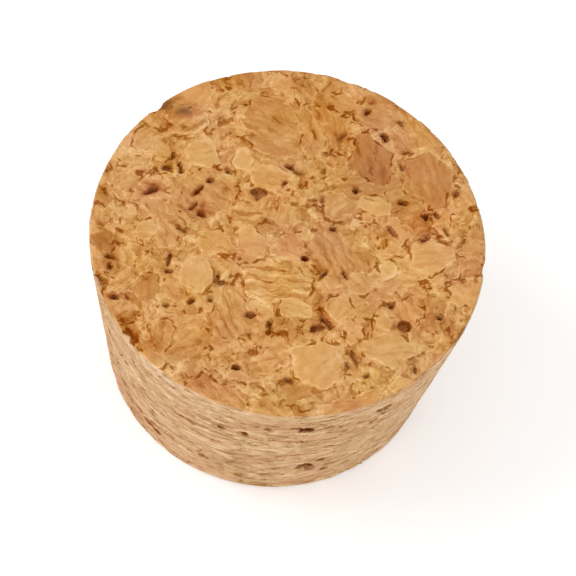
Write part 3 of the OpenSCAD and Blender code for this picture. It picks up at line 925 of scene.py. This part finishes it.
        # Painted shade, over the walls' own dark brown, darkens a pore inside by its depth, where no fleck
        # has darkened it already
        frayed = add(tree, MATH, (masks["grain"], self.pit_shade_fray_mm, depth), "MULTIPLY_ADD")[0]
        pit_shade = add(tree, RANGE, (frayed, *self.pit_shade_span), **SOFT)[0]
        pit_shade = add(tree, MATH, (pit_shade, masks["spots"]), "MULTIPLY")[0]
        clear = add(tree, MATH, (1.0, masks["fleck"]), "SUBTRACT")[0]
        masks["pit_shade"] = add(tree, MATH, (pit_shade, clear), "MULTIPLY")[0]
        shades = [self.shade(tree, region, cells, masks) for region in Region]
        colour = add(tree, MIX, {0: on_side, 6: shades[0], 7: shades[1]}, data_type="RGBA")[2]
        colour = self.tinted(tree, cells, masks["smudges_light_shade"], colour)
        grit = add(tree, NOISE, {"Vector": cells["flat"], "Scale": 1 / self.grit_mm, "Detail": FINE})[0]
        bump = {"Strength": self.grit_strength, "Distance": self.grit_deep_mm * MM, "Height": grit}
        surface = {
            "Base Color": colour,
            "Roughness": self.roughness,
            "IOR": self.ior,
            "Specular IOR Level": self.gloss,
            "Normal": add(tree, "ShaderNodeBump", bump)[0],
        }
        shader = add(tree, "ShaderNodeBsdfPrincipled", surface)
        add(tree, "ShaderNodeOutputMaterial", {"Surface": shader[0]})
        return material

    def tinted(self, tree: Tree, cells: dict, smudges_light_shade: Socket, colour: Socket) -> Socket:
        """Vary the hue of the cork from straw to orange, and grey it a little.

        Args:
            tree: The material's node tree.
            cells: What the granule field gives.
            smudges_light_shade: The sum of smudges, painted light and painted shade.
            colour: The cork's colour so far.

        Returns:
            The colour socket.
        """
        own = add(tree, RANGE, (cells["own"][1], *self.known_hue_span))[0]
        hue = add(tree, MIX, {0: cells["inside"], 2: cells["odds"][0], 3: own})[0]
        hue = add(tree, RANGE, (hue, *self.hue_span))[0]
        tint = add(tree, NOISE, {"Vector": cells["flat"], "Scale": 1 / self.tint_mm, "Detail": PLAIN})
        tint = add(tree, VECTOR, (tint["Color"], MIDDLES), "SUBTRACT")[0]
        tint = add(tree, PARTS, (tint,))
        hue = add(tree, MATH, (tint[0], self.tint_reach, hue), "MULTIPLY_ADD")[0]
        for span in self.smear_hue_spans:
            lean = add(tree, RANGE, (smudges_light_shade, *span))[0]
            hue = add(tree, MATH, (lean, hue), "ADD")[0]
        grey = add(tree, RANGE, (smudges_light_shade, *self.smear_grey_span))[0]
        grey = add(tree, MATH, (tint[1], self.tint_grey, grey), "MULTIPLY_ADD")[0]
        turned = {"Hue": hue, "Saturation": grey, "Color": colour}
        return add(tree, "ShaderNodeHueSaturation", turned)[0]

    def shade(self, tree: Tree, region: Region, cells: dict, masks: dict) -> Socket:
        """Add up the layers of one region and turn their lightness into a colour.

        Args:
            tree: The material's node tree.
            region: The surface to shade.
            cells: What the granule field gives.
            masks: Each layer's mask by name.

        Returns:
            The colour socket.
        """
        at_end = region is Region.END
        span = self.end_tone_span if at_end else self.side_tone_span
        value = add(tree, RANGE, (cells["odds"][2], *span))[0]
        if at_end:
            value = add(tree, MIX, {0: cells["inside"], 2: value, 3: cells["own"][1]})[0]
        for name, on_end, on_side in self.layers:
            most = on_end if at_end else on_side
            if most:
                value = add(tree, MATH, (masks[name], most, value), "MULTIPLY_ADD")[0]
        colour = add(tree, "ShaderNodeValToRGB", (value,))[0]
        elements = colour.node.color_ramp.elements
        tones = (self.end_ramp if at_end else self.side_ramp).split()
        for i, (place, tone) in enumerate(zip(self.ramp, tones)):
            element = elements[i] if i < len(elements) else elements.new(place)
            element.position = place
            element.color = linear(tone)
        return colour

    def grain_masks(self, tree: Tree, cells: dict, grain: Socket) -> dict[str, Socket]:
        """Draw what is inside the granules: mottle, fibres, growth rings and dark strokes.

        Args:
            tree: The material's node tree.
            cells: What the granule field gives.
            grain: The mesh's "known_grain" attribute.

        Returns:
            The masks of the layers by name.
        """
        point, inside, odds = cells["point"], cells["inside"], cells["odds"]
        # Each granule's fibres have their own heading in the plane of the flakes
        heading = add(tree, VECTOR, (cells["lot"], MIDDLES), "SUBTRACT")[0]
        heading = add(tree, MIX, {0: inside, 4: heading, 5: grain}, data_type="VECTOR")[1]
        heading = add(tree, VECTOR, (heading, LEVEL), "MULTIPLY")[0]
        heading = add(tree, VECTOR, (heading,), "NORMALIZE")[0]
        along = add(tree, VECTOR, (point, heading), "DOT_PRODUCT")["Value"]
        squeeze = self.fibre_mm / self.fibre_long_mm - 1
        back = add(tree, MATH, (along, squeeze), "MULTIPLY")[0]
        back = add(tree, VECTOR, {0: heading, "Scale": back}, "SCALE")[0]
        drawn = add(tree, VECTOR, (point, back), "ADD")[0]
        masks = {}
        for name, where, size in (
            ("patch", point, self.patch_mm),
            ("grain", point, self.grain_mm),
            ("fibre", drawn, self.fibre_mm),
            ("streak", point, self.streak_mm),
        ):
            noise = {"Vector": where, "Scale": 1 / size, "Detail": FINE, "Roughness": ROUGH}
            noise = add(tree, NOISE, noise)[0]
            masks[name] = add(tree, MATH, (noise, MIDDLE), "SUBTRACT")[0]
        even = add(tree, RANGE, (odds[2], *self.even_span))[0]
        even = add(tree, MIX, {0: inside, 2: even, 3: cells["own"][2]})[0]
        for name in ("grain", "fibre"):
            masks[name] = add(tree, MATH, (masks[name], even), "MULTIPLY")[0]
        # Growth rings run with the fibres
        across = add(tree, VECTOR, (heading, UP), "CROSS_PRODUCT")[0]
        ring = add(tree, VECTOR, (point, across), "DOT_PRODUCT")["Value"]
        ring = add(tree, MATH, (masks["patch"], self.ring_wander_mm, ring), "MULTIPLY_ADD")[0]
        ring = add(tree, MATH, (ring, 2 * math.pi / self.ring_mm), "MULTIPLY")[0]
        ring = add(tree, MATH, (ring,), "SINE")[0]
        ring = add(tree, RANGE, (ring, *self.ring_span), **SOFT)[0]
        some = add(tree, RANGE, (odds[1], *self.ringed_span), **SOFT)[0]
        ringed = add(tree, PARTS, (grain,))[2]
        some = add(tree, MIX, {0: inside, 2: some, 3: ringed})[0]
        masks["ring"] = add(tree, MATH, (ring, some), "MULTIPLY")[0]
        # Dark strokes lie along the fibres
        stroke = add(tree, NOISE, {"Vector": drawn, "Scale": 1 / self.stroke_mm, "Detail": PLAIN})[0]
        stroke = add(tree, RANGE, (stroke, *self.stroke_span), **SOFT)[0]
        masks["stroke"] = add(tree, MATH, (stroke, even), "MULTIPLY")[0]
        brown = add(tree, RANGE, (odds[2], *self.brown_span))[0]
        masks["brown"] = add(tree, MIX, {0: inside, 2: brown, 3: 0.0})[0]
        return masks

    def seam_masks(self, tree: Tree, cells: dict) -> dict[str, Socket]:
        """Draw what is between the granules: seams, smudges beside them and chains of dark bits.

        Args:
            tree: The material's node tree.
            cells: What the granule field gives.

        Returns:
            The masks of the layers by name.
        """
        flat, edge = cells["flat"], cells["edge"]
        masks = {}
        mood = add(tree, NOISE, {"Vector": flat, "Scale": 1 / self.mood_mm, "Detail": FINE})[0]
        bead = {"Vector": flat, "Scale": 1 / self.bead_mm, "Detail": FINE, "Roughness": ROUGH}
        bead = add(tree, NOISE, bead)[0]
        run = add(tree, NOISE, {"Vector": flat, "Scale": 1 / self.run_mm, "Detail": PLAIN})[0]
        # A seam comes and goes along its length
        seam = add(tree, RANGE, (edge, *self.seam_span), **SOFT)[0]
        shows = add(tree, RANGE, (run, *self.seam_run_span))[0]
        masks["seam"] = add(tree, MATH, (seam, shows), "MULTIPLY")[0]
        wide = add(tree, RANGE, (mood, *self.smudge_breadth_span))[0]
        wide = add(tree, MATH, (bead, self.smudge_bead_mm, wide), "MULTIPLY_ADD")[0]
        smudge = add(tree, MATH, (wide, edge), "SUBTRACT")[0]
        masks["smudge"] = add(tree, RANGE, (smudge, *self.smudge_span), **SOFT)[0]
        # Dark bits lie in chains along the larger granules, and a painted highlight lightens the lips
        # beside them
        wide = add(tree, RANGE, (run, *self.chain_breadth_span))[0]
        chance = add(tree, RANGE, (mood, *self.chain_mood_span))[0]
        wide = add(tree, MATH, (wide, chance), "MULTIPLY")[0]
        fray = add(tree, MATH, (bead, MIDDLE), "SUBTRACT")[0]
        fray = add(tree, MATH, (fray, self.chain_bead_mm, wide), "MULTIPLY_ADD")[0]
        over = add(tree, MATH, (fray, cells["main"]), "SUBTRACT")[0]
        for name, span in (("chain", self.chain_span), ("painted_highlight", self.painted_highlight_span)):
            masks[name] = add(tree, RANGE, (over, *span), **SOFT)[0]
        return masks

    def mark_masks(self, tree: Tree, cells: dict, fleck: Socket) -> dict[str, Socket]:
        """Draw the flecks, each with a frayed core and a soft halo, the smudges with their painted light
        and shade, and the spots.

        Args:
            tree: The material's node tree.
            cells: What the granule field gives.
            fleck: The mesh's "fleck" attribute.

        Returns:
            The masks of the layers by name, and of the spots that a pore's painted shade breaks up into.
        """
        mark = add(tree, PARTS, (fleck,))
        away, noise = self.granules.fray(tree, cells["flat"], mark[0], self.fleck_warps)
        spots = add(tree, RANGE, (noise, *self.spot_span), **SOFT)[0]
        masks = {"smudges_light_shade": mark[2], "spots": spots}
        for name, span in (("halo", self.halo_span), ("fleck", self.fleck_span)):
            core = add(tree, RANGE, (away, *span), **SOFT)[0]
            masks[name] = add(tree, MATH, (core, mark[1]), "MULTIPLY")[0]
        return masks

    def place(self, tree: Tree, position: Socket) -> tuple[Socket, Socket]:
        """Work out where a point lies on the sound body.

        Args:
            tree: The material's node tree.
            position: A point in metres.

        Returns:
            Sockets: 1 on the side and 0 on the ends, and the depth in mm below the sound surface.
        """
        lean = math.cos(math.atan(self.size.slope))
        point = add(tree, VECTOR, {0: position, "Scale": 1 / MM}, "SCALE")[0]
        level = add(tree, VECTOR, (point, LEVEL), "MULTIPLY")[0]
        radius = add(tree, VECTOR, (level,), "LENGTH")["Value"]
        height = add(tree, PARTS, (point,))[2]
        cone = (height, self.size.slope, self.size.narrow_r_mm)
        full = add(tree, MATH, cone, "MULTIPLY_ADD")[0]
        inward = add(tree, MATH, (full, radius), "SUBTRACT")[0]
        inward = add(tree, MATH, (inward, lean), "MULTIPLY")[0]
        down = add(tree, MATH, (self.size.height_mm, height), "SUBTRACT")[0]
        inside = add(tree, MATH, (down, height), "MINIMUM")[0]
        lead = add(tree, MATH, (inside, inward), "SUBTRACT")[0]
        on_side = add(tree, RANGE, (lead, *self.rim_span))
        depth = add(tree, MATH, (inside, inward), "MINIMUM")
        return on_side[0], depth[0]


@dataclass
class Studio:
    """The pale floor, the soft lights and the camera."""

    distance: float = 0.400
    elevation: float = math.radians(61.0)
    roll: float = math.radians(11.07)
    aim: Vector = field(default_factory=lambda: Vector((0.8 * MM, 0, 11.3 * MM)))
    lens_mm: float = 281.0
    sensor_mm: float = 36.0
    nearest: float = 0.01
    floor_size: float = 6.0
    floor_glow: float = 0.36
    paper: str = "EDEDED"
    white: str = "FFFFFF"
    sky: float = 0.7
    # Name, place, breadth and watts of each lamp
    lamps: tuple[tuple, ...] = (
        ("key", (-1.0, 0.0, 1.0), 0.9, 6.6),
        ("fill", (0.1, -1.3, 0.4), 1.0, 4.0),
    )

    def build(self) -> None:
        """Make the floor, the lights and the camera."""
        self.build_floor()
        self.build_lights()
        self.build_camera()

    def build_floor(self) -> None:
        """Add a wide white floor that keeps the shadow and reads white where it is lit."""
        bpy.ops.mesh.primitive_plane_add(size=self.floor_size, location=(0, 0, 0))
        floor = bpy.context.active_object
        floor.name = "floor"
        # Matt paper: white all over to the eye but for the soft shadow
        material = bpy.data.materials.new("white_paper_floor")
        material.use_nodes = True
        tree = material.node_tree
        tree.nodes.clear()
        path = add(tree, "ShaderNodeLightPath")
        seen = path["Is Camera Ray"]
        for ray in ("Is Glossy Ray", "Is Transmission Ray"):
            seen = add(tree, MATH, (seen, path[ray]), "MAXIMUM")[0]
        glow = add(tree, MATH, (seen, self.floor_glow), "MULTIPLY")[0]
        paper = add(tree, "ShaderNodeBsdfDiffuse", {"Color": linear(self.paper)})
        lit = add(tree, "ShaderNodeEmission", {"Color": linear(self.white), "Strength": glow})
        both = add(tree, "ShaderNodeAddShader", (paper[0], lit[0]))
        add(tree, "ShaderNodeOutputMaterial", {"Surface": both[0]})
        floor.data.materials.append(material)

    def build_lights(self) -> None:
        """Add a large soft key from the upper left, a wide fill and a pale world."""
        for name, place, size, watts in self.lamps:
            light = bpy.data.lights.new(name, "AREA")
            light.shape = "DISK"
            light.size = size
            light.energy = watts
            lamp = bpy.data.objects.new(name, light)
            bpy.context.scene.collection.objects.link(lamp)
            lamp.location = place
            lamp.rotation_euler = (self.aim - Vector(place)).to_track_quat("-Z", "Y").to_euler()
        world = bpy.data.worlds.new("studio")
        bpy.context.scene.world = world
        world.use_nodes = True
        tree = world.node_tree
        tree.nodes.clear()
        sky = add(tree, "ShaderNodeBackground", {"Color": linear(self.white), "Strength": self.sky})
        add(tree, "ShaderNodeOutputWorld", {"Surface": sky[0]})

    def build_camera(self) -> None:
        """Add the camera, looking down on the stopper and rolled a little."""
        data = bpy.data.cameras.new("camera")
        camera = bpy.data.objects.new("camera", data)
        bpy.context.scene.collection.objects.link(camera)
        back = Vector((0, -math.cos(self.elevation), math.sin(self.elevation)))
        level = (-back).to_track_quat("-Z", "Y").to_matrix().to_4x4()
        place = Matrix.Translation(self.aim + back * self.distance)
        camera.matrix_world = place @ level @ Matrix.Rotation(self.roll, 4, "Z")
        data.lens = self.lens_mm
        data.sensor_width = self.sensor_mm
        data.clip_start = self.nearest
        bpy.context.scene.camera = camera


def main() -> None:
    """Build the stopper, dress it and light it."""
    logging.basicConfig(level=logging.INFO, format="%(name)s %(message)s")
    bpy.context.scene.view_settings.view_transform = "Standard"
    piece = StopperBody().build()
    piece.data.materials.append(CorkFinish().build())
    LOG.info("%s: %d faces", piece.name, len(piece.data.polygons))
    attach(piece, "root")
    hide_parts("stopper")
    studio = Studio()
    studio.build()
    LOG.info("studio: a floor, %d lamps and a camera", len(studio.lamps))
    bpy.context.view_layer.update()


if __name__ == "__main__":
    main()
